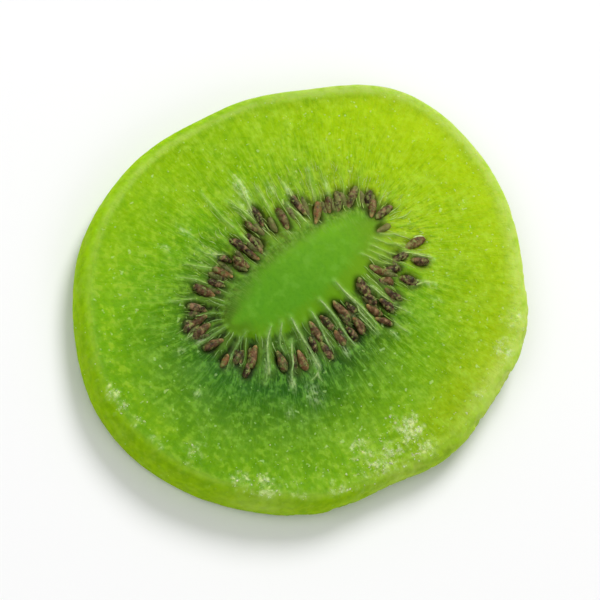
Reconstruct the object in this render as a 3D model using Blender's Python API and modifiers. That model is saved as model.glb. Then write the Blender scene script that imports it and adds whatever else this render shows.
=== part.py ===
"""One dried kiwi slice, lying flat with its shown face up.

Frame: metres, +Z up, +Y along the slice's longer diameter, origin at the
bottom centre of its bounding box. The slice is one piece of fruit, so it is
one solid: a lobed oval disc with a rounded rim, a dished face round the seed
ring, a low swelling over the core, and a flat band underneath to rest on.
"""

import math

import bmesh
import bpy
from mathutils import Vector

MM = 0.001

# ---- plan ---------------------------------------------------------------
MEAN_RADIUS = 25.38 * MM
OVAL = 0.0968                     # how far the cut is from round
OVAL_TOWARDS = 91.3               # degrees from +X of the longer diameter
LOBES = (                         # waves round the edge, share of the radius, degrees
    (3, 0.0105, -18.8),
    (4, 0.0167, 79.0),
    (5, 0.0075, -155.2),
    (6, 0.0027, -99.3),
    (7, 0.0060, 55.3),
    (8, 0.0028, 34.6),
    (9, 0.0042, 12.8),
    (10, 0.0044, 78.5),
)

# ---- rim section ---------------------------------------------------------
RIM_THICKNESS = 4.5 * MM          # at the crest, the thickest part of the slice
RIM_ROUND = 1.4 * MM              # from the crest to the outermost line
RIM_SQUARENESS = 2.4              # 2 is a half ellipse, more is a flatter wall
THICKER_ON_ONE_SIDE = 0.05        # the knife ran a little aslant
THICKER_TOWARDS = -20.0           # degrees from +X
RIM_SWELL = 0.05                  # slow swelling of the rim, three times round
RIM_SWELL_AT = 56.7               # degrees from +X of one of its crests

# ---- the two faces -------------------------------------------------------
CORE_CENTRE = (-1.9 * MM, 1.6 * MM)
CORE_HALF_WIDTH = 4.1 * MM
CORE_HALF_LENGTH = 12.0 * MM
CREST = 0.92                      # share of the radius where the face starts to dip
DISH_FLOOR = 0.50                 # share of the radius where it stops dipping
DISH_TOP = 0.75 * MM
CORE_SWELL_TOP = 0.28 * MM
REST_INNER = 0.60                 # inner edge of the flat band underneath
HOLLOW_FLOOR = 0.34
HOLLOW_UNDER = 0.40 * MM
CORE_SWELL_UNDER = 0.15 * MM

# ---- fineness ------------------------------------------------------------
STEPS_ROUND = 96
FACE_RINGS_TOP = 15
FACE_RINGS_UNDER = 11
RIM_RINGS = 12


def smooth(t):
    t = min(1.0, max(0.0, t))
    return t * t * (3.0 - 2.0 * t)


def edge_radius(angle):
    """Plan radius of the slice in a direction, at its widest line."""
    wave = OVAL * math.cos(2.0 * (angle - math.radians(OVAL_TOWARDS)))
    for count, share, phase in LOBES:
        wave += share * math.cos(count * angle - math.radians(phase))
    return MEAN_RADIUS * (1.0 + wave)


def rim_thickness(angle):
    tilt = THICKER_ON_ONE_SIDE * math.cos(angle - math.radians(THICKER_TOWARDS))
    swell = RIM_SWELL * math.cos(3.0 * (angle - math.radians(RIM_SWELL_AT)))
    return RIM_THICKNESS * (1.0 + tilt + swell)


def dish(share):
    return smooth((CREST - share) / (CREST - DISH_FLOOR))


def core_swell(x, y):
    """1 along the middle of the oval core, falling to 0 a little outside its edge."""
    across = (x - CORE_CENTRE[0]) / CORE_HALF_WIDTH
    along = (y - CORE_CENTRE[1]) / CORE_HALF_LENGTH
    return 1.0 - smooth((math.hypot(across, along) - 0.15) / 1.2)


def section():
    """The half section of a round slice, from the top centre down to the bottom centre.

    Points are (radius, height, part), where part is top, rim or under.
    """
    crest = MEAN_RADIUS - RIM_ROUND
    points = []
    for i in range(FACE_RINGS_TOP):
        points.append((crest * (i / FACE_RINGS_TOP) ** 0.85, RIM_THICKNESS, "top"))
    for i in range(RIM_RINGS + 1):
        turn = math.pi * i / RIM_RINGS
        reach = abs(math.sin(turn)) ** (2.0 / RIM_SQUARENESS)
        lift = abs(math.cos(turn)) ** (2.0 / RIM_SQUARENESS)
        lift = math.copysign(lift, math.cos(turn))
        points.append(
            (crest + RIM_ROUND * reach, RIM_THICKNESS * (0.5 + 0.5 * lift), "rim")
        )
    for i in range(FACE_RINGS_UNDER - 1, -1, -1):
        points.append((crest * (i / FACE_RINGS_UNDER) ** 0.85, 0.0, "under"))
    return points


def turned_disc(name):
    """The round disc, as a profile with a Screw modifier, then made a plain mesh."""
    profile = bmesh.new()
    last = None
    for radius, height, _ in section():
        point = profile.verts.new((radius, 0.0, height))
        if last is not None:
            profile.edges.new((last, point))
        last = point
    line = bpy.data.meshes.new(name + "_profile")
    profile.to_mesh(line)
    profile.free()
    turned = bpy.data.objects.new(name + "_profile", line)
    bpy.context.scene.collection.objects.link(turned)
    screw = turned.modifiers.new("Turn", "SCREW")
    screw.axis = "Z"
    screw.steps = screw.render_steps = STEPS_ROUND
    screw.use_merge_vertices = True
    screw.merge_threshold = 0.00001
    bpy.context.view_layer.update()
    graph = bpy.context.evaluated_depsgraph_get()
    mesh = bpy.data.meshes.new_from_object(turned.evaluated_get(graph))
    mesh.name = name
    bpy.data.objects.remove(turned)
    bpy.data.meshes.remove(line)
    return mesh


def shaped(point):
    """Moves a point of the round disc to where it lies on the real slice."""
    crest = MEAN_RADIUS - RIM_ROUND
    radius = math.hypot(point.x, point.y)
    angle = math.atan2(point.y, point.x)
    edge = edge_radius(angle)
    thick = rim_thickness(angle)
    if radius > crest + 1e-7:                      # the rounded rim
        out = edge - (MEAN_RADIUS - radius)
        return Vector(
            (
                out * math.cos(angle),
                out * math.sin(angle),
                point.z * thick / RIM_THICKNESS,
            )
        )
    out = radius * (edge - RIM_ROUND) / crest
    x, y = out * math.cos(angle), out * math.sin(angle)
    share = out / edge
    core = core_swell(x, y)
    if point.z > 0.5 * RIM_THICKNESS:              # the shown face
        # The slope from the thick side to the thin one runs straight across.
        level = RIM_THICKNESS + (thick - RIM_THICKNESS) * share / (1.0 - RIM_ROUND / edge)
        return Vector((x, y, level - DISH_TOP * dish(share) + CORE_SWELL_TOP * core))
    # The underside: flat in a band, hollowed inside it.
    inside = smooth((REST_INNER - share) / (REST_INNER - HOLLOW_FLOOR))
    return Vector((x, y, (HOLLOW_UNDER - CORE_SWELL_UNDER * core) * inside))


def main():
    for old in list(bpy.data.objects):
        bpy.data.objects.remove(old)
    parts = bpy.data.collections.new("dried_kiwi_slice")
    bpy.context.scene.collection.children.link(parts)

    mesh = turned_disc("kiwi_slice")
    for vertex in mesh.vertices:
        vertex.co = shaped(vertex.co)
    # The origin is the bottom centre of the slice's own box.
    xs = [v.co.x for v in mesh.vertices]
    ys = [v.co.y for v in mesh.vertices]
    centre = Vector((0.5 * (min(xs) + max(xs)), 0.5 * (min(ys) + max(ys)), 0.0))
    for vertex in mesh.vertices:
        vertex.co -= centre
    mesh.shade_smooth()

    slice_object = bpy.data.objects.new("kiwi_slice", mesh)
    parts.objects.link(slice_object)

    flesh = bpy.data.materials.new("kiwi_flesh")
    flesh.use_nodes = True
    shader = flesh.node_tree.nodes["Principled BSDF"]
    shader.inputs["Base Color"].default_value = (0.300, 0.560, 0.030, 1.0)
    shader.inputs["Roughness"].default_value = 0.45
    shader.inputs["Metallic"].default_value = 0.0
    shader.inputs["Subsurface Weight"].default_value = 0.6
    shader.inputs["Subsurface Radius"].default_value = (0.6, 1.0, 0.15)
    shader.inputs["Subsurface Scale"].default_value = 0.002
    mesh.materials.clear()
    mesh.materials.append(flesh)
    bpy.context.view_layer.update()


main()
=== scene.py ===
"""A candied, dried kiwi slice, lying flat with its shown face up.

Lengths below are in millimetres until a mesh is made. The slice is laid out in
its own plan: +Y along the longer diameter, angles counter-clockwise from +X.
Its pattern follows confocal ovals: mu grows outwards from the line between the
two foci, and nu turns round them, so a line of constant nu is a fibre's path.
"""

import math

import bpy
import numpy as np
from mathutils import Matrix, Vector


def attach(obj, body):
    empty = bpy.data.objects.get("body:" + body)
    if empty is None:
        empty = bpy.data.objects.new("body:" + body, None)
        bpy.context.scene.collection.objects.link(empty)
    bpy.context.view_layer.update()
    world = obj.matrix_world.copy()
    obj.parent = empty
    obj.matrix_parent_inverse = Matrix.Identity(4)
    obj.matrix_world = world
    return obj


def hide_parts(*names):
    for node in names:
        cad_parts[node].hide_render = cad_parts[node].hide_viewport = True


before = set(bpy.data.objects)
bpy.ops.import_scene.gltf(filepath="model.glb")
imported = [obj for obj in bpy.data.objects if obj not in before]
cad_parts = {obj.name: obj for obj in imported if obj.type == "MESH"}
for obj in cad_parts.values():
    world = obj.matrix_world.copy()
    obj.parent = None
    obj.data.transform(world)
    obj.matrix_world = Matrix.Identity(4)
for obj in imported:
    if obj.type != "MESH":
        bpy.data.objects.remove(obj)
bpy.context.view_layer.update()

MM = 0.001
TAU = 2.0 * math.pi

# ---- the CAD shape, repeated so that the fine surface lies on it ----------
MEAN_RADIUS = 25.38
OVAL = 0.0968
OVAL_TOWARDS = 91.3
LOBES = (
    (3, 0.0105, -18.8),
    (4, 0.0167, 79.0),
    (5, 0.0075, -155.2),
    (6, 0.0027, -99.3),
    (7, 0.0060, 55.3),
    (8, 0.0028, 34.6),
    (9, 0.0042, 12.8),
    (10, 0.0044, 78.5),
)
RIM_THICKNESS = 4.5
RIM_ROUND = 1.4
RIM_SQUARENESS = 2.4
THICKER_ON_ONE_SIDE = 0.05
THICKER_TOWARDS = -20.0
RIM_SWELL = 0.05
RIM_SWELL_AT = 56.7
CORE = (-1.9, 1.6)
CORE_HALF_WIDTH = 4.1
CORE_HALF_LENGTH = 12.0
CREST = 0.92
DISH_FLOOR = 0.50
DISH_TOP = 0.75
CORE_SWELL_TOP = 0.28
REST_INNER = 0.60
HOLLOW_FLOOR = 0.34
HOLLOW_UNDER = 0.40
CORE_SWELL_UNDER = 0.15
STEPS_ROUND = 96

# ---- the pattern ----------------------------------------------------------
FOCUS = 11.2                     # half distance between the foci
CORE_SPOT = (-1.9, 0.5)          # the pale core's own oval: centre, half axes, lean in degrees
CORE_SPOT_HALF = (3.6, 10.9)
CORE_LEAN = 3.0

# Seeds of the shown face: x, y, turn from the outward direction in degrees,
# length, width share, and tone from black-brown (0) to reddish (1).
SEED_TABLE = (
    (-3.2, -13.1, 15, 2.5, 1.10, 0.35), (-4.3, -14.0, 19, 1.3, 0.80, 0.00),
    (-4.3, -12.4, 17, 1.8, 0.90, 0.40), (-5.5, -11.7, -12, 2.1, 0.95, 0.12),
    (-6.6, -9.8, -11, 2.3, 1.15, 0.45), (-6.5, -8.0, 14, 1.9, 0.85, 0.15),
    (-7.0, -6.6, 13, 2.2, 1.00, 0.80), (-8.1, -5.3, 17, 1.3, 0.75, 0.00),
    (-6.8, -4.2, 11, 1.9, 1.00, 0.50), (-8.3, -2.9, 11, 2.5, 1.00, 0.20),
    (-6.8, -2.5, 6, 1.7, 0.75, 0.60), (-7.6, -1.3, -5, 2.5, 0.90, 0.15),
    (-9.4, -0.5, 4, 1.5, 0.80, 0.35), (-9.9, 1.0, -13, 2.4, 1.00, 0.10),
    (-8.2, 1.7, -10, 1.6, 0.80, 0.50), (-8.1, 3.3, -9, 2.4, 1.00, 0.40),
    (-8.4, 5.8, 6, 2.5, 1.00, 0.30), (-6.5, 7.1, -36, 2.4, 1.00, 0.90),
    (-6.5, 8.8, -16, 1.7, 0.90, 0.50), (-6.2, 10.0, -17, 2.2, 1.05, 0.10),
    (-5.7, 11.7, -27, 2.6, 1.00, 0.30), (-4.5, 13.2, -5, 1.8, 1.00, 0.10),
    (-3.4, 12.8, -8, 2.1, 1.00, 0.70), (-2.3, 13.6, -12, 2.5, 1.00, 0.30),
    (-0.8, 12.3, 53, 1.7, 0.85, 1.00), (2.5, 14.2, 32, 2.4, 1.15, 0.72),
    (4.5, 13.2, 5, 1.8, 1.00, 0.30), (2.8, 11.6, 50, 1.9, 1.00, 0.15),
    (3.4, 9.8, 40, 1.6, 0.90, 0.20), (5.5, 10.6, 9, 2.1, 1.20, 0.10),
    (2.5, 8.4, 19, 1.7, 1.00, 0.75), (4.1, 8.6, 11, 1.3, 0.80, 0.70),
    (5.8, 8.0, 7, 2.1, 0.90, 0.25), (6.3, 6.6, -1, 1.9, 1.00, 0.15),
    (3.1, 5.7, -13, 2.0, 1.10, 0.25), (4.7, 5.5, -2, 1.5, 1.00, 0.10),
    (6.0, 4.9, 13, 1.9, 0.90, 0.70), (7.5, 5.1, 26, 1.8, 0.80, 0.50),
    (4.2, 2.9, 2, 1.4, 0.80, 0.00), (6.3, 2.4, -6, 1.9, 1.05, 0.40),
    (3.7, 1.8, 10, 2.2, 1.05, 0.55), (6.6, 1.1, 0, 1.7, 0.90, 0.05),
    (6.2, -0.5, 3, 1.8, 1.00, 0.60), (4.0, -0.5, 12, 1.9, 1.05, 0.20),
    (4.1, -2.3, 3, 2.3, 1.05, 0.45), (6.5, -2.7, 7, 2.0, 1.00, 0.25),
    (5.1, -3.5, -2, 1.7, 0.85, 0.10), (5.8, -5.8, 4, 2.2, 1.00, 0.75),
    (4.6, -7.8, 10, 2.2, 1.05, 0.55), (2.3, -10.2, -9, 2.6, 1.10, 0.70),
    (3.2, -11.8, -5, 1.7, 0.75, 0.00), (1.4, -11.6, -16, 1.8, 0.90, 0.15),
    (1.0, -13.1, 4, 1.6, 0.80, 0.90), (-1.3, -13.0, -14, 2.4, 1.10, 0.45),
)

# Long pale fibres of the shown face: thickness, paleness, and the places they pass.
LONG_FIBRES = (
    (0.34, 1.00, (0.8, -6.2), (2.0, -7.8), (3.1, -8.7), (4.3, -9.7), (5.5, -11.1)),
    (0.26, 0.90, (3.3, -5.2), (4.4, -6.2), (5.5, -6.9), (6.4, -7.9), (7.8, -8.8)),
    (0.36, 1.00, (1.3, -3.7), (3.3, -4.1), (5.5, -4.3), (7.4, -4.9), (8.1, -5.6)),
    (0.22, 0.90, (7.8, -5.2), (8.4, -5.6), (9.1, -5.6)),
    (0.20, 0.90, (7.8, -5.2), (8.1, -5.9), (8.2, -6.6)),
    (0.30, 0.90, (2.0, -1.3), (4.0, -1.6), (6.2, -2.1), (7.4, -2.5)),
    (0.36, 1.00, (1.5, 0.4), (3.0, 0.5), (4.5, 0.5), (6.2, 0.4), (8.0, 0.4)),
    (0.22, 0.35, (-0.3, -9.0), (0.6, -11.5), (1.4, -13.0), (1.9, -13.8)),
    (0.30, 0.70, (1.1, -4.9), (2.9, -6.6), (4.1, -6.9)),
    (0.20, 0.35, (-2.0, -10.4), (-2.1, -13.4), (-2.1, -15.0)),
    (0.24, 0.60, (-3.5, -13.5), (-3.4, -14.5), (-3.4, -15.4)),
    (0.38, 1.00, (0.8, 3.3), (2.4, 3.4), (4.0, 3.7), (5.6, 3.9), (7.4, 4.0)),
    (0.26, 0.90, (3.7, 3.8), (5.1, 3.4), (6.5, 3.5), (8.3, 3.7)),
    (0.20, 0.60, (0.0, 8.0), (1.8, 9.1), (3.2, 10.5)),
    (0.17, 0.45, (0.2, 9.0), (1.8, 10.0), (3.6, 11.3)),
    (0.18, 0.55, (-0.2, 9.6), (1.5, 10.7), (3.2, 12.4)),
    (0.16, 0.40, (-0.6, 10.4), (0.9, 11.5), (2.0, 13.0)),
    (0.16, 0.50, (-0.6, 11.4), (0.3, 12.5), (0.9, 14.0)),

    (0.30, 1.00, (2.5, 12.2), (3.8, 13.5), (5.1, 14.6)),
    (0.30, 0.80, (3.4, 6.4), (5.1, 6.8), (6.7, 7.4)),
    (0.20, 0.80, (5.5, 3.0), (6.8, 3.2), (8.3, 3.3)),
    (0.22, 0.80, (6.8, 7.2), (7.5, 7.6), (8.6, 8.2)),
    (0.22, 0.80, (6.2, 10.6), (6.7, 11.9), (7.5, 12.9)),
    (0.20, 0.70, (8.0, 6.0), (9.2, 6.1), (10.3, 6.5)),
    (0.34, 1.00, (-10.3, 0.7), (-12.0, 1.0), (-13.0, 1.2), (-14.2, 1.6)),
    (0.24, 0.80, (-9.9, 2.6), (-11.1, 2.8), (-12.6, 3.0)),
    (0.28, 1.00, (-9.5, 5.8), (-10.3, 6.0), (-11.2, 6.0)),
    (0.32, 0.90, (-9.1, -2.1), (-7.6, -1.7), (-5.9, -1.3)),
    (0.34, 0.80, (-6.1, 5.3), (-7.5, 5.1), (-9.1, 4.8)),
    (0.24, 0.70, (-7.9, 7.8), (-9.7, 8.7), (-11.0, 9.5)),
    (0.26, 0.70, (-9.5, 0.3), (-11.4, -0.2), (-13.2, -0.9)),
    (0.20, 0.60, (-10.2, -2.2), (-11.9, -2.6), (-13.7, -2.7), (-15.5, -2.8)),
    (0.22, 0.80, (-8.5, -5.0), (-9.6, -6.6), (-10.6, -7.2)),
    (0.22, 0.70, (-7.9, -7.0), (-9.0, -8.4), (-10.2, -9.6)),
    (0.24, 0.70, (-6.7, -8.7), (-8.1, -9.8), (-9.4, -11.3)),
    (0.20, 0.70, (-6.4, -11.3), (-7.2, -12.8), (-7.8, -14.0)),
)

# Whitish frayed places outside the seeds: x, y, length outwards, width, strength.
FRAYED = (
    (-13.3, 1.4, 2.1, 0.72, 1.00), (-10.3, 6.0, 1.3, 0.36, 0.75), (-11.5, 0.3, 1.5, 0.34, 0.60),
    (-11.7, 4.4, 1.5, 0.36, 0.60), (-9.4, -6.0, 1.3, 0.36, 0.55), (-13.1, -7.3, 1.4, 0.40, 0.50),
    (7.1, -4.7, 1.1, 0.38, 0.60), (4.3, -9.6, 1.1, 0.36, 0.65), (7.8, -0.9, 1.0, 0.38, 0.60),
    (4.5, 14.1, 1.2, 0.36, 0.55), (7.1, 12.3, 1.3, 0.34, 0.50), (9.0, 11.8, 1.0, 0.34, 0.40),
    (9.6, -7.3, 2.0, 1.00, 0.38), (7.3, -8.5, 1.3, 0.42, 0.50), (9.7, -11.0, 0.9, 0.50, 0.35),
    (2.2, -18.4, 0.8, 0.44, 0.45), (-2.3, -13.9, 1.0, 0.34, 0.45), (-2.7, -16.6, 1.0, 0.40, 0.35),
    (-12.8, -10.4, 1.0, 0.40, 0.35), (9.4, 5.0, 1.0, 0.34, 0.40), (-8.2, 10.0, 1.5, 0.36, 0.45),
)

# A pale thread along one side of the seed that stands apart.
THREAD = ((1.97, 14.34), (2.10, 14.83), (2.37, 15.27), (2.80, 15.45))

# Seeds with flesh clinging over them: the seed nearest to x, y, and how much of it is covered.
COVERED = (
    (-8.2, 1.7, 0.80), (-9.4, -0.5, 0.45), (-0.8, 12.3, 0.75), (1.4, -11.6, 0.45),
    (1.0, -13.1, 0.55), (4.6, -7.8, 0.45), (-7.0, -6.6, 0.35), (-8.1, 3.3, 0.40),
    (-1.3, -13.0, 0.30),
)
# Directions in which no deeper seed shows, in degrees.
BARE = (-151.0, -91.0, -85.0, 80.0, 171.0)

# Crusts of sugar near the rim: angle, share of the radius, radius, strength.
SUGAR_PATCHES = (
    (-3, 0.791, 0.80, 1.00), (-6, 0.852, 0.42, 0.80), (-22, 0.815, 0.60, 0.80),
    (-3, 0.956, 0.80, 1.00), (-33, 0.950, 0.60, 0.40), (-19, 0.930, 1.40, 0.40),
    (-14, 0.894, 1.20, 0.30), (38, 0.906, 0.60, 0.60), (22, 0.926, 0.40, 0.50),
    (47, 0.916, 0.60, 0.50), (-97, 0.952, 0.50, 0.80), (-93, 0.940, 0.40, 0.60),
    (-88, 0.938, 0.42, 0.40), (-81, 0.940, 0.40, 0.30), (-52, 0.936, 0.70, 1.00),
    (-59, 0.934, 0.60, 0.60), (-44, 0.938, 0.50, 0.35), (-73, 0.892, 0.70, 0.25),
)


def smooth(t):
    t = np.clip(t, 0.0, 1.0)
    return t * t * (3.0 - 2.0 * t)


def step(lo, hi, v):
    return smooth((v - lo) / (hi - lo))


def bell(v, centre, width):
    return np.exp(-(((v - centre) / width) ** 2))


def turn_to(a, b):
    """The signed angle from b to a, in degrees."""
    return (a - b + 180.0) % 360.0 - 180.0


def linear(r, g, b):
    """A colour given as it is seen, from 0 to 255, as the renderer's numbers."""
    c = np.array([r, g, b]) / 255.0
    c = np.where(c <= 0.04045, c / 12.92, ((c + 0.055) / 1.055) ** 2.4)
    return (float(c[0]), float(c[1]), float(c[2]), 1.0)


class Noise:
    """Gradient noise over space, seeded, about -1 to 1."""

    def __init__(self, seed):
        rng = np.random.default_rng(seed)
        order = rng.permutation(256)
        self.order = np.concatenate([order, order])
        g = rng.normal(size=(256, 3))
        self.slope = g / np.linalg.norm(g, axis=1, keepdims=True)

    def __call__(self, x, y, z=0.0):
        p = np.stack(np.broadcast_arrays(x, y, z), -1).astype(float)
        cell = np.floor(p).astype(int)
        f = p - cell
        w = f * f * f * (f * (f * 6.0 - 15.0) + 10.0)
        total = np.zeros(p.shape[:-1])
        for corner in range(8):
            d = np.array([corner & 1, (corner >> 1) & 1, corner >> 2])
            c = (cell + d) & 255
            h = self.order[self.order[self.order[c[..., 0]] + c[..., 1]] + c[..., 2]]
            weight = np.prod(np.where(d == 1, w, 1.0 - w), axis=-1)
            total += weight * np.sum(self.slope[h] * (f - d), axis=-1)
        return 1.5 * total

    def layers(self, x, y, z=0.0, count=3, gain=0.5):
        total, size, reach = 0.0, 1.0, 1.0
        for _ in range(count):
            total = total + size * self(x * reach, y * reach, z * reach + 7.3 * reach)
            size *= gain
            reach *= 2.03
        return total


def edge_radius(angle):
    wave = OVAL * np.cos(2.0 * (angle - math.radians(OVAL_TOWARDS)))
    for count, share, phase in LOBES:
        wave = wave + share * np.cos(count * angle - math.radians(phase))
    return MEAN_RADIUS * (1.0 + wave)


def rim_thickness(angle):
    tilt = THICKER_ON_ONE_SIDE * np.cos(angle - math.radians(THICKER_TOWARDS))
    swell = RIM_SWELL * np.cos(3.0 * (angle - math.radians(RIM_SWELL_AT)))
    return RIM_THICKNESS * (1.0 + tilt + swell)


ring = np.arange(STEPS_ROUND) * TAU / STEPS_ROUND
ring_x = edge_radius(ring) * np.cos(ring)
ring_y = edge_radius(ring) * np.sin(ring)
CENTRE = np.array(
    [0.5 * (ring_x.min() + ring_x.max()), 0.5 * (ring_y.min() + ring_y.max()), 0.0]
)


def core_swell(x, y):
    across = (x - CORE[0]) / CORE_HALF_WIDTH
    along = (y - CORE[1]) / CORE_HALF_LENGTH
    return 1.0 - smooth((np.hypot(across, along) - 0.15) / 1.2)


def share_of(x, y):
    return np.hypot(x, y) / edge_radius(np.arctan2(y, x))


def base_top(x, y):
    angle = np.arctan2(y, x)
    edge = edge_radius(angle)
    share = np.hypot(x, y) / edge
    slope = (rim_thickness(angle) - RIM_THICKNESS) * share / (1.0 - RIM_ROUND / edge)
    dip = DISH_TOP * smooth((CREST - share) / (CREST - DISH_FLOOR))
    return RIM_THICKNESS + slope - dip + CORE_SWELL_TOP * core_swell(x, y)


def base_under(x, y):
    inside = smooth((REST_INNER - share_of(x, y)) / (REST_INNER - HOLLOW_FLOOR))
    return (HOLLOW_UNDER - CORE_SWELL_UNDER * core_swell(x, y)) * inside


def oval(x, y):
    """mu and nu of a place on the plan."""
    along, across = y - CORE[1], x - CORE[0]
    far = np.hypot(along + FOCUS, across)
    near = np.hypot(along - FOCUS, across)
    mu = np.arccosh(np.maximum(1.0, (far + near) / (2.0 * FOCUS)))
    turn = np.arccos(np.clip((far - near) / (2.0 * FOCUS), -1.0, 1.0))
    return mu, np.where(across >= 0.0, turn, -turn)


def plan(mu, nu):
    return (
        CORE[0] + FOCUS * np.sinh(mu) * np.sin(nu),
        CORE[1] + FOCUS * np.cosh(mu) * np.cos(nu),
    )


def outward(mu, nu):
    """The direction in which mu grows."""
    x = np.cosh(mu) * np.sin(nu)
    y = np.sinh(mu) * np.cos(nu)
    size = np.hypot(x, y) + 1e-9
    return x / size, y / size


# ---- where the seeds lie ---------------------------------------------------
class Seeds:
    """The seeds of one face: place, heading and size of each."""

    def __init__(self, table, seed, opposite=False):
        rng = np.random.default_rng(seed)
        found = np.array(table, float)
        n = len(found)
        self.x, self.y = found[:, 0].copy(), found[:, 1].copy()
        twist = found[:, 2].copy()
        if opposite:
            # The other cut face meets the same chambers at another depth.
            self.x = 2.0 * CORE[0] - self.x + rng.normal(0.0, 0.5, n)
            self.y = 2.0 * CORE[1] - self.y + rng.normal(0.0, 0.5, n)
            twist = rng.normal(0.0, 13.0, n)
        self.long = found[:, 3] * (rng.uniform(0.85, 1.1, n) if opposite else 1.0)
        self.wide = found[:, 4]
        self.tone = found[:, 5]
        self.sunk = np.zeros(n)
        # Deeper seeds show between neighbours of the same chamber.
        mu, nu = oval(self.x, self.y)
        order = np.argsort(nu)
        for i, j in zip(order, np.roll(order, -1)):
            gap = turn_to(math.degrees(nu[j]), math.degrees(nu[i]))
            open_gap = abs(turn_to(0.5 * math.degrees(nu[i] + nu[j]), 26.0)) < 13.0
            if not 2.0 < gap < 15.0 or open_gap:
                continue
            deep_mu = max(0.43, 0.5 * (mu[i] + mu[j]) - rng.uniform(-0.03, 0.09))
            deep_nu = nu[i] + math.radians(gap * rng.uniform(0.35, 0.65))
            x, y = plan(deep_mu, deep_nu)
            self.x, self.y = np.append(self.x, x), np.append(self.y, y)
            twist = np.append(twist, rng.normal(0.0, 12.0))
            self.long = np.append(self.long, rng.uniform(1.5, 2.3))
            self.wide = np.append(self.wide, rng.uniform(0.7, 1.0))
            self.tone = np.append(self.tone, rng.uniform(0.0, 0.3))
            self.sunk = np.append(self.sunk, rng.uniform(0.16, 0.32))
        n = len(self.x)
        self.pitch = rng.uniform(-0.16, 0.16, n)
        self.roll = rng.uniform(-0.6, 0.6, n)
        self.mu, self.nu = oval(self.x, self.y)
        ox, oy = outward(self.mu, self.nu)
        heading = np.arctan2(oy, ox) + np.radians(twist)
        self.dx, self.dy = np.cos(heading), np.sin(heading)
        degrees = np.degrees(self.nu)
        self.septa = self.between(degrees[self.sunk == 0.0])
        # Flesh clings over the deeper ones, and over most at the far end of the ring.
        self.veil = 0.18 + 0.20 * bell(turn_to(degrees, -30.0), 0.0, 50.0)
        self.veil = self.veil + 0.40 * (self.sunk > 0.0)
        if not opposite:
            for x, y, cover in COVERED:
                self.veil[np.argmin(np.hypot(self.x - x, self.y - y))] = cover
        bare = np.min([np.abs(turn_to(degrees, at)) for at in BARE], axis=0) < 2.0
        keep = ~(bare & (self.sunk > 0.0))
        for name in ("x", "y", "long", "wide", "tone", "sunk", "pitch", "roll", "mu", "nu",
                     "dx", "dy", "veil"):
            setattr(self, name, getattr(self, name)[keep])

    @staticmethod
    def between(nu):
        """Directions of the walls between neighbouring rows."""
        at = np.sort(nu % 360.0)
        gap = np.diff(np.append(at, at[0] + 360.0))
        walls = []
        for start, width in zip(at, gap):
            if width > 4.5:
                for i in range(int(width // 11) + 1):
                    walls.append(start + width * (i + 1) / (int(width // 11) + 2))
        return np.array(walls) % 360.0

    def near(self, x, y, long, wide):
        """How close a place is to a seed, from 0 to 1, with margins round its own size."""
        total = np.zeros(np.shape(x))
        for i in range(len(self.x)):
            ax, ay = x - self.x[i], y - self.y[i]
            a = (ax * self.dx[i] + ay * self.dy[i]) / (0.5 * self.long[i] + long)
            b = (-ax * self.dy[i] + ay * self.dx[i]) / (0.58 * self.wide[i] + wide)
            total = np.maximum(total, np.exp(-(a * a + b * b)))
        return total


TOP_SEEDS = Seeds(SEED_TABLE, 11)
UNDER_SEEDS = Seeds(SEED_TABLE, 12, opposite=True)

# ---- relief of the faces and the rim --------------------------------------
wide_noise, lump_noise, grain_noise, ray_noise, edge_noise = (
    Noise(s) for s in (101, 102, 103, 104, 105)
)


def wall_between(seeds, mu, nu, width):
    """1 on the walls between the seed chambers, falling to 0 beside them."""
    wall = np.zeros(np.shape(mu))
    degrees = np.degrees(nu)
    for i, at in enumerate(seeds.septa):
        lean = 6.4 * math.sin(2.1 * i) * (mu - 0.5)
        wall = np.maximum(wall, bell(turn_to(degrees, at + lean), 0.0, width))
    return wall


def through(places, count):
    """A smooth path through the places, evenly spaced."""
    p = np.array(places, float)
    p = np.concatenate([[2 * p[0] - p[1]], p, [2 * p[-1] - p[-2]]])
    out = []
    for i in range(1, len(p) - 2):
        t = np.linspace(0.0, 1.0, 24, endpoint=False)[:, None]
        a, b, c, d = p[i - 1], p[i], p[i + 1], p[i + 2]
        out.append(
            0.5 * (2 * b + (c - a) * t + (2 * a - 5 * b + 4 * c - d) * t**2
                   + (3 * b - a - 3 * c + d) * t**3)
        )
    out = np.concatenate(out + [p[-2:-1]])
    run = np.concatenate([[0.0], np.cumsum(np.hypot(*np.diff(out, axis=0).T))])
    at = np.linspace(0.0, run[-1], count)
    return np.interp(at, run, out[:, 0]), np.interp(at, run, out[:, 1])


RIDGES = [(pale, thick, *through(places, 16)) for thick, pale, *places in LONG_FIBRES]


def ridge_of(x, y):
    """1 on the soft ridges of flesh that carry the long fibres, falling to 0 beside them."""
    total = np.zeros(np.shape(x))
    for pale, thick, px, py in RIDGES:
        mx, my = 0.5 * (px.min() + px.max()), 0.5 * (py.min() + py.max())
        reach = 0.5 * max(np.ptp(px), np.ptp(py)) + 1.5
        close = (np.abs(x - mx) < reach) & (np.abs(y - my) < reach)
        if not close.any():
            continue
        fx, fy = np.asarray(x)[close], np.asarray(y)[close]
        far = np.full(fx.shape, 9.0)
        for a in range(len(px) - 1):
            sx, sy = px[a + 1] - px[a], py[a + 1] - py[a]
            t = np.clip(((fx - px[a]) * sx + (fy - py[a]) * sy) / (sx * sx + sy * sy), 0, 1)
            far = np.minimum(far, np.hypot(fx - px[a] - t * sx, fy - py[a] - t * sy))
        total[close] = np.maximum(
            total[close], (0.35 + 0.65 * pale) * np.exp(-((far / (0.17 + 0.45 * thick)) ** 2))
        )
    return total


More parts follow.
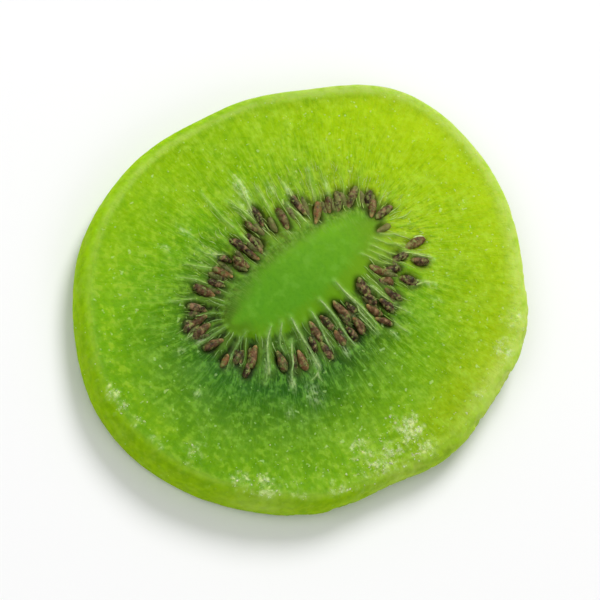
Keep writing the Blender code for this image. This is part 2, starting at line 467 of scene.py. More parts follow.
def fray_of(x, y):
    """1 in the frayed places, with ragged edges."""
    total = np.zeros(np.shape(x))
    for px, py, long, wide, strength in FRAYED:
        ox, oy = outward(*oval(np.array([px]), np.array([py])))
        ax, ay = x - px, y - py
        a = (ax * ox[0] + ay * oy[0]) / (0.62 * long)
        b = (ay * ox[0] - ax * oy[0]) / (0.78 * wide)
        total = np.maximum(total, strength * np.exp(-(a * a + b * b)))
    return total


def face_relief(x, y, seeds, side):
    """Height added to a face, in the direction out of the fruit."""
    mu, nu = oval(x, y)
    out = step(0.30, 0.62, mu)
    deep = 40.0 * side
    h = 0.17 * wide_noise(x / 8.5, y / 8.5, deep)
    h = h + 0.070 * lump_noise(x / 2.3, y / 2.3, deep) * (0.20 + 0.80 * out)
    h = h + 0.042 * grain_noise.layers(x / 0.80, y / 0.80, deep, 2) * (0.06 + 0.94 * out)
    streak = ray_noise(40.0 * np.cos(nu), 40.0 * np.sin(nu), 7.0 * mu + deep)
    h = h + 0.060 * streak * step(0.40, 0.66, mu) * (1.0 - 0.75 * step(0.9, 1.4, mu))
    # Walls between the seed chambers stand up, and the chambers sink.
    belt = step(0.33, 0.44, mu) * (1.0 - step(0.70, 0.92, mu))
    h = h + belt * (0.20 * wall_between(seeds, mu, nu, 2.3) - 0.16)
    h = h - 0.34 * seeds.near(x, y, 0.10, 0.10) + 0.10 * seeds.near(x, y, 0.55, 0.50)
    if side == 0:
        h = h + 0.20 * ridge_of(x, y) + 0.10 * fray_of(x, y)
    return h


def top_height(x, y):
    return base_top(x, y) + face_relief(x, y, TOP_SEEDS, 0)


def under_height(x, y):
    return base_under(x, y) - face_relief(x, y, UNDER_SEEDS, 1) - 0.06


# ---- meshes -----------------------------------------------------------------
class Builder:
    """Gathers points and triangles of one piece."""

    def __init__(self):
        self.points, self.faces, self.values, self.count = [], [], {}, 0

    def add(self, points, faces, **values):
        points = np.asarray(points, float)
        self.points.append(points)
        self.faces.append(np.asarray(faces, int) + self.count)
        for name, value in values.items():
            filled = np.broadcast_to(np.asarray(value, float), (len(points),))
            self.values.setdefault(name, []).append(filled)
        self.count += len(points)

    def make(self, name, material):
        points = np.concatenate(self.points)
        faces = np.concatenate(self.faces)
        values = {k: np.concatenate(v) for k, v in self.values.items()}
        return make_piece(name, points, faces, material, values)


def make_piece(name, points, faces, material, values=(), vectors=()):
    mesh = bpy.data.meshes.new(name)
    mesh.vertices.add(len(points))
    mesh.vertices.foreach_set("co", ((points - CENTRE) * MM).astype(np.float32).ravel())
    mesh.loops.add(faces.size)
    mesh.loops.foreach_set("vertex_index", faces.astype(np.int32).ravel())
    mesh.polygons.add(len(faces))
    mesh.polygons.foreach_set("loop_start", np.arange(0, faces.size, 3, dtype=np.int32))
    mesh.polygons.foreach_set("loop_total", np.full(len(faces), 3, np.int32))
    mesh.update(calc_edges=True)
    mesh.validate()
    mesh.shade_smooth()
    for key, value in dict(values).items():
        layer = mesh.attributes.new(key, "FLOAT", "POINT")
        layer.data.foreach_set("value", np.asarray(value, np.float32))
    for key, value in dict(vectors).items():
        layer = mesh.attributes.new(key, "FLOAT_VECTOR", "POINT")
        layer.data.foreach_set("vector", np.asarray(value, np.float32).ravel())
    piece = bpy.data.objects.new(name, mesh)
    bpy.context.scene.collection.objects.link(piece)
    mesh.materials.append(material)
    return piece


def disc_rings(count):
    """Triangles of a disc whose ring i has 8 i points, and each point's ring and place on it."""
    ring_of, turn_of, start = [np.zeros(1)], [np.zeros(1)], [0, 1]
    for i in range(1, count + 1):
        ring_of.append(np.full(8 * i, float(i)))
        turn_of.append(np.arange(8 * i) / (8.0 * i))
        start.append(start[-1] + 8 * i)
    faces = []
    for i in range(count):
        inner, outer = start[i], start[i + 1]
        m, n = max(1, 8 * i), 8 * (i + 1)
        for sector in range(8):
            j = np.arange(i + 1)
            a = inner + ((sector * i + j) % m if i else np.zeros(i + 1, int))
            b = outer + (sector * (i + 1) + j) % n
            c = outer + (sector * (i + 1) + j + 1) % n
            faces.append(np.stack([a, b, c], -1))
            if i:
                j = np.arange(i)
                a = inner + (sector * i + j) % m
                d = inner + (sector * i + j + 1) % m
                c = outer + (sector * (i + 1) + j + 1) % n
                faces.append(np.stack([a, c, d], -1))
    return np.concatenate(ring_of), np.concatenate(turn_of), np.concatenate(faces), start


def rim_profile(rows):
    """The rim's half section, evenly spaced: how far out of the crest, and height share, from top to bottom."""
    t = np.linspace(0.0, math.pi, 4001)
    reach = np.abs(np.sin(t)) ** (2.0 / RIM_SQUARENESS) * RIM_ROUND
    lift = np.sign(np.cos(t)) * np.abs(np.cos(t)) ** (2.0 / RIM_SQUARENESS)
    z = RIM_THICKNESS * (0.5 + 0.5 * lift)
    run = np.concatenate([[0.0], np.cumsum(np.hypot(np.diff(reach), np.diff(z)))])
    at = np.linspace(0.0, run[-1], rows + 1)
    return np.interp(at, run, reach), np.interp(at, run, z) / RIM_THICKNESS


TOP_RINGS = 124
UNDER_RINGS = 62
RIM_ROWS = 18


def slice_mesh():
    """The whole skin of the slice: top, rim and underside, closed."""
    # Shown face.
    ring_of, turn_of, top_faces, top_start = disc_rings(TOP_RINGS)
    angle = TAU * turn_of
    out = (ring_of / TOP_RINGS) * (edge_radius(angle) - RIM_ROUND)
    tx, ty = out * np.cos(angle), out * np.sin(angle)
    tz = base_top(tx, ty)
    # Rim, from just outside the crest to the crest underneath.
    around = 8 * TOP_RINGS
    reach, height = rim_profile(RIM_ROWS)
    turn = TAU * np.arange(around) / around
    edge, thick = edge_radius(turn), rim_thickness(turn)
    rx = (edge - RIM_ROUND)[None, :] + reach[1:, None]
    rz = thick[None, :] * height[1:, None]
    wx, wy = rx * np.cos(turn), rx * np.sin(turn)
    # Underside, from its outer ring inwards.
    ring_u, turn_u, under_faces, under_start = disc_rings(UNDER_RINGS)
    angle_u = TAU * turn_u
    out_u = (ring_u / (UNDER_RINGS + 0.6)) * (edge_radius(angle_u) - RIM_ROUND)
    ux, uy = out_u * np.cos(angle_u), out_u * np.sin(angle_u)
    uz = base_under(ux, uy)

    points = np.concatenate(
        [
            np.stack([tx, ty, tz], -1),
            np.stack([wx.ravel(), wy.ravel(), rz.ravel()], -1),
            np.stack([ux, uy, uz], -1),
        ]
    )
    first_wall = len(tx)
    first_under = first_wall + RIM_ROWS * around
    faces = [top_faces]
    j = np.arange(around)
    k = (j + 1) % around
    upper = top_start[TOP_RINGS]
    for row in range(RIM_ROWS):
        lower = first_wall + row * around
        faces.append(np.stack([upper + j, lower + j, lower + k], -1))
        faces.append(np.stack([upper + j, lower + k, upper + k], -1))
        upper = lower
    # The last rim row has twice as many points as the underside's outer ring.
    coarse = first_under + under_start[UNDER_RINGS]
    half = around // 2
    i = np.arange(half)
    n = (i + 1) % half
    faces.append(np.stack([upper + 2 * i, coarse + i, upper + 2 * i + 1], -1))
    faces.append(np.stack([upper + 2 * i + 1, coarse + i, coarse + n], -1))
    faces.append(np.stack([upper + 2 * i + 1, coarse + n, upper + (2 * i + 2) % around], -1))
    faces.append(under_faces[:, ::-1] + first_under)
    faces = np.concatenate(faces)
    side = np.concatenate(
        [np.ones(len(tx)), np.zeros(RIM_ROWS * around), -np.ones(len(ux))]
    )
    return points, faces, side


def normals_of(points, faces):
    p = points[faces]
    n = np.cross(p[:, 1] - p[:, 0], p[:, 2] - p[:, 0])
    total = np.zeros_like(points)
    for c in range(3):
        for axis in range(3):
            total[:, axis] += np.bincount(faces[:, c], n[:, axis], len(points))
    return total / (np.linalg.norm(total, axis=1, keepdims=True) + 1e-12)


def rim_relief(x, y, z, angle):
    """Height added to the rim, along its normal."""
    degrees = np.degrees(angle)
    e = edge_radius(angle)
    cx, cy = e * np.cos(angle), e * np.sin(angle)
    rough = bell(turn_to(degrees, 8.0), 0.0, 50.0)
    h = 0.06 * edge_noise(cx / 5.0, cy / 5.0, z / 5.0)
    # Low lumps, a little longer along the edge than up and down it.
    h = h + (0.030 + 0.025 * rough) * edge_noise(cx / 1.7, cy / 1.7, z / 1.3 + 9.0)
    h = h + 0.018 * grain_noise.layers(x / 0.9, y / 0.9, z / 0.9, 2)
    # Small chips below the crest, on the side where the peel was cut least evenly.
    rough = rough * step(0.955, 0.995, np.hypot(x, y) / e)
    nick = edge_noise(cx / 1.8 + 31.0, cy / 1.8, z / 1.8)
    h = h - 0.34 * rough * smooth((nick - 0.08) / 0.35) + 0.10 * rough
    small = edge_noise(cx / 0.9 + 11.0, cy / 0.9, z / 0.9)
    return h - 0.08 * rough * smooth((small - 0.05) / 0.3)


def frost_of(x, y):
    """Where sugar has crusted the skin, from 0 to 1, as a zone and as the clumps in it."""
    ragged = lump_noise.layers(x / 0.95 + 3.0, y / 0.95, 11.0, 3)
    total = np.zeros(np.shape(x))
    for angle, share, radius, strength in SUGAR_PATCHES:
        a = math.radians(angle)
        e = share * float(edge_radius(a))
        far = np.hypot(x - e * math.cos(a), y - e * math.sin(a)) / (1.75 * radius)
        total = np.maximum(total, strength**0.5 * smooth((1.75 - far - 0.75 * ragged) / 1.35))
    # A thin bloom between the patches, on the side where they lie.
    bloom = bell(share_of(x, y), 0.89, 0.09) * bell(
        turn_to(np.degrees(np.arctan2(y, x)), -22.0), 0.0, 45.0
    )
    bloom = bloom * smooth((ragged + 0.20) / 0.6)
    zone = np.clip(total + 0.26 * bloom * (1.0 - total), 0.0, 1.0)
    clump = lump_noise.layers(x / 0.95, y / 0.95, 17.0, 3)
    return zone, zone * (0.34 + 0.66 * smooth((clump + 0.20) / 0.42))


def tone_and_painted_light_of(x, y):
    """How pale and yellow the flesh is, partly its own tone and partly painted light and shade: least in a long
    patch beside the core.
    """
    a = math.radians(-14.0)
    dx, dy = x - 2.4, y + 5.5
    across = dx * math.cos(a) + dy * math.sin(a)
    along = -dx * math.sin(a) + dy * math.cos(a)
    deep = np.exp(-((across / 11.3) ** 2 + (along / 15.2) ** 2))
    t = 0.77 - 0.0036 * x + 0.0074 * y - 0.95 * deep
    # A second, shallower dip towards -X is painted shade.
    t = t - 0.13 * np.exp(-(((x + 16.5) / 9.0) ** 2 + ((y - 7.0) / 9.0) ** 2))
    return np.clip(t + 0.05 * wide_noise(x / 5.0, y / 5.0, 5.0), 0.0, 1.0)


def build_body(material):
    points, faces, side = slice_mesh()
    x, y, z = points.T.copy()
    angle = np.arctan2(y, x)
    share = share_of(x, y)
    normal = normals_of(points, faces)
    crest = 1.0 - RIM_ROUND / edge_radius(angle)
    on_face = 1.0 - step(crest - 0.035, crest + 0.015, share)
    on_rim = 1.0 - on_face
    top, under = side > 0.5, side < -0.5
    h = np.zeros(len(points))
    h[top] = face_relief(x[top], y[top], TOP_SEEDS, 0) * on_face[top]
    h[under] = (face_relief(x[under], y[under], UNDER_SEEDS, 1) + 0.06) * on_face[under]
    points[:, 2] += np.where(side >= 0.0, h, -h)
    rim = rim_relief(x, y, z, angle)
    low = np.where(under, 0.0, step(0.86, 1.0, z / rim_thickness(angle)))
    zone, frost = frost_of(x, y)
    frost = frost * np.where(side > 0.5, 1.0, low)
    lump = lump_noise.layers(x / 0.75, y / 0.75, z / 0.75, 2)
    lift = rim * on_rim + 0.16 * zone * np.where(top, 1.0, low) * smooth((lump + 0.35) / 1.1)
    # A faint raised line runs along the crest, where the cut face meets the rim.
    line = bell(share, crest - 0.010, 0.014) * np.where(top, 1.0, 0.0)
    line = line * (0.35 + 0.65 * step(-0.5, 0.3, np.cos(angle - math.radians(120.0))))
    wander = 0.5 + 0.5 * edge_noise(x / 3.0, y / 3.0, 21.0)
    points += normal * (lift + 0.13 * line * wander)[:, None]
    points[:, 2] = np.maximum(points[:, 2], 0.015)
    mu, nu = oval(x, y)
    upper = side >= 0.0
    near = np.where(
        upper, TOP_SEEDS.near(x, y, 0.46, 0.42), UNDER_SEEDS.near(x, y, 0.46, 0.42)
    )
    wall = np.where(
        upper, wall_between(TOP_SEEDS, mu, nu, 2.0), wall_between(UNDER_SEEDS, mu, nu, 2.0)
    )
    # The rim's rounding carries a pale band, partly its own pale line and partly painted sheen; it is palest
    # where it faces away from the deep patch.
    pale_in = 0.26 + 0.34 * step(-0.55, 0.30, np.cos(angle - math.radians(120.0)))
    pale_in = pale_in - 0.16 * bell(turn_to(np.degrees(angle), -88.0), 0.0, 18.0)
    pale_out = 0.01 + 0.76 * step(-0.05, 0.75, np.cos(angle - math.radians(82.0)))
    at = crest + 0.008
    rounding = np.maximum(
        pale_in * bell(share, at, 0.016), np.where(share > at, pale_out, 0.0)
    )
    wide = 0.020 + 0.034 * bell(turn_to(np.degrees(angle), 38.0), 0.0, 42.0)
    rounding = np.maximum(rounding, pale_out * bell(share, at, wide))
    # Two short stretches of it are pale right down to the foot.
    bare = 0.40 * bell(turn_to(np.degrees(angle), -12.0), 0.0, 11.0)
    bare = bare + 0.28 * bell(turn_to(np.degrees(angle), -52.0), 0.0, 8.0)
    rounding = np.maximum(rounding, bare * step(0.93, 0.98, share))
    lean = math.radians(CORE_LEAN)
    cx, cy = x - CORE_SPOT[0], y - CORE_SPOT[1]
    spot = np.hypot(
        (cx * math.cos(lean) + cy * math.sin(lean)) / CORE_SPOT_HALF[0],
        (cy * math.cos(lean) - cx * math.sin(lean)) / CORE_SPOT_HALF[1],
    )
    # The flesh turns yellower towards +X, most of all near the rim.
    warm = 0.25 + 0.20 * np.cos(angle - math.radians(30.0)) * share
    warm = warm + 0.70 * step(0.50, 0.95, share) * bell(
        turn_to(np.degrees(angle), 12.0), 0.0, 34.0
    )
    values = {
        "core": spot,
        "warm": np.clip(warm, 0.0, 1.0),
        "ridge": np.where(side >= 0.0, ridge_of(x, y), 0.0),
        "fray": np.where(side >= 0.0, fray_of(x, y), 0.0),
        # Between two chambers the ring of seeds is open, and the flesh there is bright.
        "open": bell(turn_to(np.degrees(nu), 16.0), 0.0, 21.0)
        * step(0.07, 0.36, mu) * (1.0 - step(0.80, 1.0, mu)),
        # The skin is a little duller along one stretch of the rim, and clearer on another.
        "dull": step(0.85, 0.95, share)
        * bell(turn_to(np.degrees(angle), 142.0), 0.0, 54.0),
        "clear": bell(share, 0.885, 0.042)
        * bell(turn_to(np.degrees(angle), -94.0), 0.0, 30.0),
        # Pale and deep flesh: partly its own tone, partly painted light and shade.
        "light": tone_and_painted_light_of(x, y),
        "near_seed": near * on_face,
        "septum": wall * on_face,
        "frost": frost,
        "rim": step(crest - 0.004, crest + 0.022, share) * np.where(under, 0.6, 1.0),
        # The pale band along the crest is partly painted sheen.
        "crest": rounding * np.where(under, 0.2, step(0.10, 0.75, z / RIM_THICKNESS)),
        # Painted shade on the rim, strongest on the side towards -45 degrees.
        "rim_shade": on_rim * (0.5 + 0.5 * np.cos(angle - math.radians(-45.0))),
    }
    vectors = {"ray": np.stack([np.cos(nu), np.sin(nu), mu], -1)}
    return make_piece("kiwi_flesh", points, faces, material, values, vectors)


# ---- seeds -------------------------------------------------------------------
def seed_shape(rings=26, sides=18):
    """A flattened teardrop 1 long along X, pointed at its start. Returns points and triangles."""
    t = np.linspace(0.0, 1.0, rings + 2)[1:-1]
    t = 0.5 - 0.5 * np.cos(math.pi * t)
    r = np.clip(4.0 * t * (1.0 - t), 0.0, 1.0) ** 0.42 * (0.62 + 0.50 * t - 0.16 * t * t)
    turn = TAU * np.arange(sides) / sides
    px = np.repeat(t - 0.5, sides)
    py = (r[:, None] * np.cos(turn)).ravel()
    pz = (r[:, None] * np.sin(turn)).ravel()
    points = np.stack([px, py, pz], -1)
    points = np.concatenate([points, [[-0.5, 0, 0], [0.5, 0, 0]]])
    start, end = len(points) - 2, len(points) - 1
    faces = []
    for i in range(rings - 1):
        for j in range(sides):
            k = (j + 1) % sides
            a, b = i * sides + j, i * sides + k
            c, d = a + sides, b + sides
            faces += [(a, c, b), (b, c, d)]
    for j in range(sides):
        k = (j + 1) % sides
        faces.append((start, j, k))
        last = (rings - 1) * sides
        faces.append((end, last + k, last + j))
    return points, np.array(faces)


SEED_LONG, SEED_WIDE, SEED_THICK = 1.14, 1.10, 0.86
pit_noise = Noise(201)


def turned(points, axis_a, axis_b, angle):
    c, s = math.cos(angle), math.sin(angle)
    a, b = points[:, axis_a].copy(), points[:, axis_b].copy()
    points[:, axis_a], points[:, axis_b] = c * a - s * b, s * a + c * b


def build_seeds(material):
    base, faces = seed_shape()
    build = Builder()
    unit = base / (np.linalg.norm(base, axis=1, keepdims=True) + 1e-9)
    for seeds, top in ((TOP_SEEDS, True), (UNDER_SEEDS, False)):
        for i in range(len(seeds.x)):
            wide = SEED_WIDE * seeds.wide[i]
            thick = SEED_THICK * (0.6 + 0.4 * seeds.wide[i])
            p = base * [SEED_LONG * seeds.long[i], 0.5 * wide, 0.5 * thick]
            # Fine pits all over, wrinkles along it, shrunken dents, and a slight bend.
            pit = pit_noise(p[:, 0] / 0.20 + 9.0 * i, p[:, 1] / 0.20, p[:, 2] / 0.20)
            fold = pit_noise(p[:, 0] / 0.95 + 3.0 * i, p[:, 1] / 0.26, p[:, 2] / 0.26 + 20.0)
            dent = pit_noise(p[:, 0] / 0.62 + 5.0 * i, p[:, 1] / 0.62, p[:, 2] / 0.62 + 50.0)
            p = p + unit * (0.028 * pit + 0.055 * fold + 0.085 * dent)[:, None]
            p[:, 1] += 0.40 * math.sin(3.0 * i) * (p[:, 0] / seeds.long[i]) ** 2
            turned(p, 1, 2, seeds.roll[i])
            turned(p, 0, 2, seeds.pitch[i])
            wx = seeds.x[i] + p[:, 0] * seeds.dx[i] - p[:, 1] * seeds.dy[i]
            wy = seeds.y[i] + p[:, 0] * seeds.dy[i] + p[:, 1] * seeds.dx[i]
            here = np.array([seeds.x[i]]), np.array([seeds.y[i]])
            if top:
                wz = float(base_top(*here)[0]) - 0.05 - seeds.sunk[i] + p[:, 2]
            else:
                level = max(float(base_under(*here)[0]) + 0.05, 0.0)
                wz = level + seeds.sunk[i] - p[:, 2]
                wz = wz + max(0.0, 0.03 - float(wz.min()))
            build.add(
                np.stack([wx, wy, wz], -1),
                faces if top else faces[:, ::-1],
                tone=seeds.tone[i],
                along=base[:, 0] + 0.5,
                veil=seeds.veil[i],
                light=float(tone_and_painted_light_of(*here)[0]),
            )
    return build.make("kiwi_seeds", material)


# ---- fibres -------------------------------------------------------------------
def tube(build, x, y, z, radius, sides, flat=0.7, **values):
    """A closed tapered tube through the points, flattened against the face."""
    path = np.stack([x, y, z], -1)
    way = np.gradient(path, axis=0)
    way /= np.linalg.norm(way, axis=1, keepdims=True) + 1e-9
    across = np.cross(way, [0.0, 0.0, 1.0])
    across /= np.linalg.norm(across, axis=1, keepdims=True) + 1e-9
    up = np.cross(across, way)
    turn = TAU * np.arange(sides) / sides
    ring_points = (
        path[:, None, :]
        + across[:, None, :] * (radius[:, None] * np.cos(turn))[..., None]
        + up[:, None, :] * (flat * radius[:, None] * np.sin(turn))[..., None]
    ).reshape(-1, 3)
    points = np.concatenate([ring_points, path[:1], path[-1:]])
    n = len(path)
    first, last = n * sides, n * sides + 1
    i, j = np.meshgrid(np.arange(n - 1), np.arange(sides), indexing="ij")
    k = (j + 1) % sides
    a, b = (i * sides + j).ravel(), (i * sides + k).ravel()
    faces = [np.stack([a, b, a + sides], -1), np.stack([b, b + sides, a + sides], -1)]
    j = np.arange(sides)
    k = (j + 1) % sides
    end = (n - 1) * sides
    faces.append(np.stack([np.full(sides, first), k, j], -1))
    faces.append(np.stack([np.full(sides, last), end + j, end + k], -1))
    full = {
        key: np.concatenate([np.repeat(v, sides), [v[0], v[-1]]]) for key, v in values.items()
    }
    build.add(points, np.concatenate(faces), **full)


wander_noise = Noise(301)


def taper(t, start=0.16, end=0.40):
    return np.clip(t / start, 0.0, 1.0) ** 0.6 * np.clip((1.0 - t) / end, 0.0, 1.0) ** 0.6


def lay(build, x, y, thick, key, top, sides, sink, pale, blur=0.0, flat=0.7, fall=0.30):
    """Lays a fibre along a path on a face. blur flattens its course over the pits below it."""
    t = np.linspace(0.0, 1.0, len(x))
    knots = 1.0 + 0.30 * wander_noise(5.0 * t * len(x) / 12.0, key * 5.1, 8.5)
    radius = 0.5 * thick * (0.12 + 0.88 * taper(t)) * knots
    if top:
        z = top_height(x, y)
        if blur > 0.0:
            z = blur * np.maximum(z, base_top(x, y) + 0.03) + (1.0 - blur) * z
        z = z + (0.45 - sink) * radius
    else:
        z = np.maximum(under_height(x, y) - (0.45 - sink) * radius, 1.1 * radius + 0.02)
    kernel = np.array([0.25, 0.5, 0.25])
    for _ in range(2):
        z = np.convolve(np.pad(z, 1, mode="edge"), kernel, mode="valid")
    fade = 0.82 - fall * t + 0.55 * wander_noise(t * len(x) / 6.0, key * 3.3, 30.5)
    pale = pale * np.clip(fade, 0.1, 1.0)
    tube(build, x, y, z, radius, sides, flat, pale=pale, light=tone_and_painted_light_of(x, y))


def fibre(build, nu, first, last, thick, bend, key, top=True, count=22, sides=7, pale=1.0, sink=0.2):
    """A fibre outwards along nu, from mu = first to mu = last."""
    t = np.linspace(0.0, 1.0, count)
    mu = first + (last - first) * t
    drift = bend * (t - 0.3) ** 2 + 0.9 * wander_noise(mu * 6.0, key * 3.7, 0.5)
    x, y = plan(mu, np.radians(nu + drift))
    lay(build, x, y, thick, key, top, sides, sink, pale)


def build_fibres(material):
    build = Builder()
    rng = np.random.default_rng(31)
    for key, (thick, pale, *places) in enumerate(LONG_FIBRES):
        # Each is a small bundle: one main strand and thinner ones that leave it and rejoin.
        # On the side away from the camera's foot only fine strands stand out of the ridges.
        fine = places[-1][0] < -7.0
        for strand in range(1 if fine else 2):
            x, y = through(places, 34)
            t = np.linspace(0.0, 1.0, len(x))
            spread = 0.0 if strand == 0 else 0.30 * thick + 0.16 * rng.uniform() * t
            way = rng.choice((-1.0, 1.0))
            wx, wy = np.gradient(x), np.gradient(y)
            size = np.hypot(wx, wy) + 1e-9
            x, y = x - way * spread * wy / size, y + way * spread * wx / size
            x = x + 0.05 * wander_noise(x * 1.5, y * 1.5, key * 2.3 + 9.0 * strand)
            y = y + 0.05 * wander_noise(x * 1.5, y * 1.5, key * 2.3 + 40.0 + 9.0 * strand)
            if strand:
                first = rng.integers(0, 12)
                last = rng.integers(22, 35)
                x, y = x[first:last], y[first:last]
            girth = (0.58 if strand == 0 else rng.uniform(0.20, 0.34)) * (0.7 if fine else 1.0)
            lay(
                build, x, y, thick * girth, key + 0.37 * strand, True, 8,
                0.42 if strand == 0 else 0.35,
                pale * (0.95 if strand == 0 else rng.uniform(0.4, 0.95)),
                blur=0.8, flat=0.45, fall=0.30 if fine else 0.46,
            )
    x, y = through(THREAD, 16)
    t = np.linspace(0.0, 1.0, 16)
    z = np.maximum(top_height(x, y), base_top(x, y)) + 0.10
    tube(
        build, x, y, z, 0.13 * (0.2 + 0.8 * taper(t)), 8, 0.8, pale=1.5 + 0.0 * t,
        light=tone_and_painted_light_of(x, y),
    )
    for top in (True, False):
        seeds = TOP_SEEDS if top else UNDER_SEEDS
        # One to three in the walls between the seed rows.
        for key, at in enumerate(seeds.septa):
            for _ in range(rng.integers(1, 4)):
                first = rng.uniform(0.36, 0.56)
                fibre(
                    build, at + rng.normal(0.0, 2.2), first, first + rng.uniform(0.08, 0.30),
                    rng.uniform(0.06, 0.13), rng.normal(0.0, 2.5), 50 + key + rng.uniform(0, 1),
                    top, 16, 6, rng.uniform(0.2, 0.9), 0.2,
                )
        # Short ones cross the seeds.
        for key in range(90 if top else 60):
            i = rng.integers(len(seeds.x))
            nu = math.degrees(seeds.nu[i]) + rng.normal(0.0, 2.6)
            first = max(0.30, seeds.mu[i] + rng.uniform(-0.16, 0.02))
            fibre(
                build, nu, first, first + rng.uniform(0.07, 0.20), rng.uniform(0.06, 0.12),
                rng.normal(0.0, 2.5), 120 + key, top, 12, 6, rng.uniform(0.2, 0.8), -0.3,
            )
        # Fine ones fan out of the belt of seeds into the flesh, thickest on one side.
        for key in range(200 if top else 120):
            nu = rng.uniform(0.0, 360.0)
            soft = math.exp(-((turn_to(nu, 255.0) / 62.0) ** 2))
            first = rng.uniform(0.54, 0.80) + 0.14 * soft * rng.uniform()
            fibre(
                build, nu + rng.normal(0.0, 2.0), first,
                first + rng.uniform(0.03, 0.11) + 0.04 * soft * rng.uniform(),
                rng.uniform(0.05, 0.08) + 0.03 * soft * rng.uniform(), rng.normal(0.0, 2.0),
                200 + key, top, 10, 5, rng.uniform(0.2, 0.8), 0.35,
            )
    return build.make("kiwi_fibres", material)


# ---- sugar -----------------------------------------------------------------------
def grain_shape():
    """An icosahedron of radius 1."""
    g = (1.0 + math.sqrt(5.0)) / 2.0
    points = []
    for a in (-1.0, 1.0):
        for b in (-g, g):
            points += [(0.0, a, b), (a, b, 0.0), (b, 0.0, a)]
    points = np.array(points) / math.hypot(1.0, g)
    faces = []
    for a in range(12):
        for b in range(a + 1, 12):
            for c in range(b + 1, 12):
                p = points[[a, b, c]]
                if max(np.linalg.norm(p - np.roll(p, 1, 0), axis=1)) < 1.1:
                    out = np.dot(np.cross(p[1] - p[0], p[2] - p[0]), p.sum(0))
                    faces.append((a, b, c) if out > 0 else (a, c, b))
    return points, np.array(faces)


def build_sugar(body, material):
    """Grains of sugar half sunk in the skin: crusts in the patches, and single ones elsewhere."""
    mesh = body.data
    count = len(mesh.vertices)
    co = np.empty(count * 3, np.float32)
    no = np.empty(count * 3, np.float32)
    mesh.vertices.foreach_get("co", co)
    mesh.vertices.foreach_get("normal", no)
    co, no = co.reshape(-1, 3) / MM + CENTRE, no.reshape(-1, 3)
    frost = np.empty(count, np.float32)
    mesh.attributes["frost"].data.foreach_get("value", frost)
    mu, _ = oval(co[:, 0], co[:, 1])
    shape, faces = grain_shape()
    rng = np.random.default_rng(41)
    build = Builder()

    def scatter(number, weight, small, large, sink):
        weight = np.clip(weight, 0.0, None)
        chosen = rng.choice(count, number, replace=False, p=weight / weight.sum())
        for v in chosen:
            size = small * (large / small) ** (rng.uniform() ** 2.0)
            p = shape * (1.0 + 0.24 * rng.normal(size=(12, 1)))
            p = p * [1.0, rng.uniform(0.55, 1.0), rng.uniform(0.45, 0.9)]
            q, _ = np.linalg.qr(rng.normal(size=(3, 3)))
            if np.linalg.det(q) < 0:
                q[:, 0] *= -1.0
            p = p @ q.T * (0.5 * size)
            p = p + co[v] - no[v] * size * sink + rng.normal(0.0, 0.04, 3)
            low = p[:, 2].min()
            if low < 0.01:
                p[:, 2] += 0.01 - low
            build.add(p, faces, shade=rng.uniform())

    up = no[:, 2] > 0.3
    reachable = co[:, 2] > 0.5
    open_face = step(0.40, 0.66, mu)
    scatter(600, frost**2 * reachable * up, 0.12, 0.38, 0.30)
    scatter(240, frost * (1.0 - frost) * reachable * up, 0.10, 0.24, 0.30)
    scatter(190, (0.10 + frost) * open_face * up, 0.10, 0.26, 0.32)
    scatter(50, (0.20 + frost) * reachable * ~up, 0.08, 0.18, 0.32)
    piece = build.make("kiwi_sugar", material)
    piece.data.shade_flat()
    return piece


